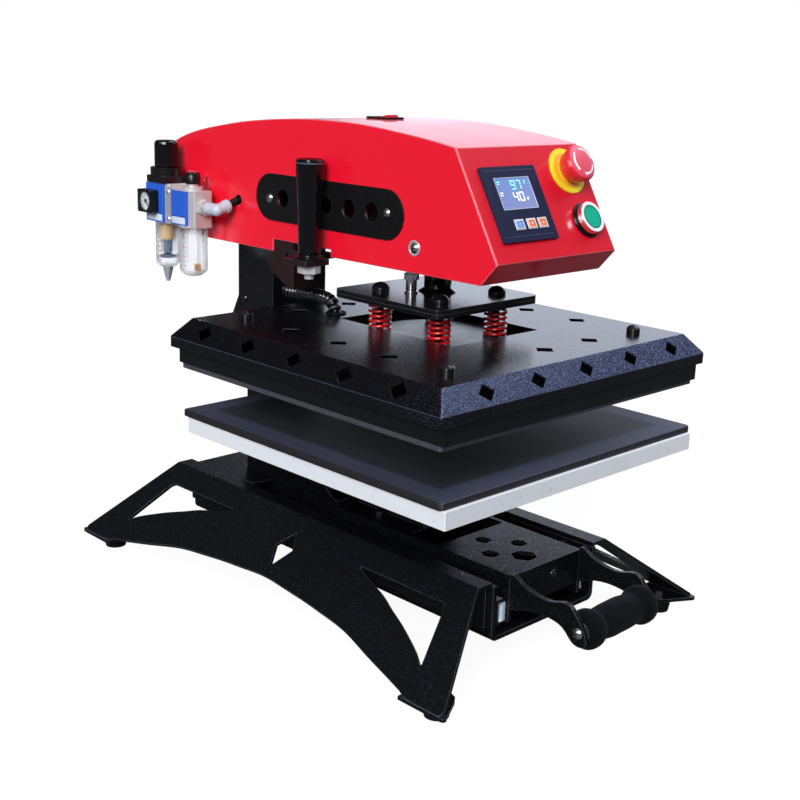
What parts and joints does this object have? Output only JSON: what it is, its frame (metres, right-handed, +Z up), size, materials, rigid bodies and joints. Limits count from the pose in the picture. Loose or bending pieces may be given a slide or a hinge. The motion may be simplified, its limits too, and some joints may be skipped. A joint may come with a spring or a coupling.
{
  "type": "pneumatic heat press",
  "caption": "Swing-head pneumatic heat press: red arm with controls and air unit on a black column, sprung heat platen, pull-out lower platen on splayed legs.",
  "frame": {"origin": "middle of the footprint, on the floor under the feet", "axes": "+Z up, +Y to the rear (the operator stands at -Y), +X to the operator's right"},
  "size_m": [0.426, 0.6914, 0.5499],
  "materials": {
    "red_paint": "gloss red paint",
    "red_dark": "dark red paint",
    "black_powder": "black hammered powder coat",
    "gloss_black": "gloss black",
    "black_steel": "black oxide",
    "bronze": "turned bronze",
    "zinc": "zinc plated",
    "chrome": "polished",
    "aluminium": "brushed",
    "rubber_black": "matt",
    "silicone": "matt silicone",
    "foam": "closed cell foam",
    "black_plastic": "satin",
    "lcd": "lit display window",
    "yellow_plastic": "satin",
    "red_plastic": "gloss",
    "green_plastic": "gloss",
    "key_blue": "gloss",
    "key_orange": "gloss",
    "spring_red": "painted spring steel",
    "grey_metal": "satin die cast",
    "clear_plastic": "clear polycarbonate",
    "blue_plastic": "satin blue",
    "white_plastic": "satin white"
  },
  "bodies": {
    "root": {"leg_left": "black_powder", "leg_right": "black_powder", "rubber_feet": "rubber_black", "base_bolts": "black_steel", "base_channel": "black_powder", "rear_cover_plate": "black_powder", "pedestal_column": "black_powder", "bearing_housing": "black_powder", "pivot_bushes": "bronze", "slide_outer_members": "zinc"},
    "slide_mid": {"slide_mid_members": "zinc"},
    "drawer": {"slide_inner_members": "zinc", "drawer_carriage": "black_powder", "lower_platen": "aluminium", "silicone_pad": "silicone", "handle_frame": "black_powder", "foam_grip": "foam", "drawer_bolts": "chrome"},
    "swing_head": {"swing_column": "black_powder", "arm_housing": "red_paint", "arm_base_plate": "red_dark", "vent_plates": "black_powder", "housing_screws": "chrome", "controller_case": "black_plastic", "controller_display": "lcd", "estop_base": "yellow_plastic", "start_button_ring": "chrome", "power_switch_frame": "black_plastic", "air_cylinder": "aluminium", "solenoid_valve": "zinc", "handle_bracket": "black_powder", "swing_grip": "black_plastic", "air_unit_bracket": "zinc", "lubricator_head": "grey_metal", "lubricator_bowl": "clear_plastic", "regulator_body": "grey_metal", "filter_bowl": "clear_plastic", "air_unit_covers": "blue_plastic", "pressure_gauge": "black_plastic", "air_elbow": "white_plastic", "air_hose": "rubber_black", "cable_gland": "black_plastic", "conduit": "black_plastic"},
    "press_head": {"piston_rod": "chrome", "rod_collar": "black_steel", "pressure_plates": "gloss_black", "guide_rod": "chrome", "platen_springs": "spring_red"},
    "heat_platen": {"heating_platen": "aluminium", "platen_cover": "black_powder", "platen_bolts": "black_steel"},
    "estop_plunger": {"estop_stem": "red_plastic"},
    "estop_knob": {"estop_head": "red_plastic"},
    "start_key": {"start_button": "green_plastic"},
    "left_key": {"key_left": "key_blue"},
    "middle_key": {"key_middle": "key_orange"},
    "right_key": {"key_right": "key_orange"},
    "rocker": {"power_rocker": "red_plastic"},
    "knob": {"regulator_knob": "black_plastic"},
    "needle": {"gauge_needle": "red_plastic"}
  },
  "joints": [
    {"name": "head_swing", "type": "hinge", "parent": "root", "child": "swing_head", "pos_m": [0, 0.1912, 0.275], "axis": [0, 0, 1], "range_deg": [0, 90]},
    {"name": "press_stroke", "type": "slide", "parent": "swing_head", "child": "press_head", "axis": [0, 0, -1], "range_m": [0, 0.046], "deforming": ["conduit"]},
    {"name": "platen_float", "type": "slide", "parent": "press_head", "child": "heat_platen", "axis": [0, 0, 1], "range_m": [0, 0.008], "stiffness_N_per_m": 40000, "springref_m": -0.01, "deforming": ["platen_springs"]},
    {"name": "drawer_slide", "type": "slide", "parent": "root", "child": "drawer", "axis": [0, -1, 0], "range_m": [0, 0.3]},
    {"name": "mid_slide", "type": "slide", "parent": "root", "child": "slide_mid", "axis": [0, -1, 0], "range_m": [0, 0.15]},
    {"name": "estop_push", "type": "slide", "parent": "swing_head", "child": "estop_plunger", "axis": [0, 0.8679, -0.4967], "range_m": [0, 0.004]},
    {"name": "estop_twist", "type": "hinge", "parent": "estop_plunger", "child": "estop_knob", "pos_m": [0.059, -0.19424, 0.51097], "axis": [0, -0.8679, 0.4967], "range_deg": [0, 45], "stiffness_Nm_per_rad": 0.05},
    {"name": "start_push", "type": "slide", "parent": "swing_head", "child": "start_key", "axis": [0, 0.8679, -0.4967], "range_m": [0, 0.003], "stiffness_N_per_m": 600, "springref_m": -0.003},
    {"name": "key_left_push", "type": "slide", "parent": "swing_head", "child": "left_key", "axis": [0, 0.8679, -0.4967], "range_m": [0, 0.001], "stiffness_N_per_m": 400, "springref_m": -0.001},
    {"name": "key_middle_push", "type": "slide", "parent": "swing_head", "child": "middle_key", "axis": [0, 0.8679, -0.4967], "range_m": [0, 0.001], "stiffness_N_per_m": 400, "springref_m": -0.001},
    {"name": "key_right_push", "type": "slide", "parent": "swing_head", "child": "right_key", "axis": [0, 0.8679, -0.4967], "range_m": [0, 0.001], "stiffness_N_per_m": 400, "springref_m": -0.001},
    {"name": "power_rock", "type": "hinge", "parent": "swing_head", "child": "rocker", "pos_m": [0.003, 0.0342, 0.5435], "axis": [1, 0, 0], "range_deg": [0, 20]},
    {"name": "knob_turn", "type": "hinge", "parent": "swing_head", "child": "knob", "pos_m": [-0.117, 0.2862, 0.485], "axis": [0, 0, 1], "range_deg": [-720, 720]},
    {"name": "needle_turn", "type": "hinge", "parent": "swing_head", "child": "needle", "pos_m": [-0.143, 0.2922, 0.4365], "axis": [-1, 0, 0], "range_deg": [0, 270]}
  ],
  "couplings": [
    {"joint": "mid_slide", "follows": "drawer_slide", "ratio": 0.5}
  ]
}
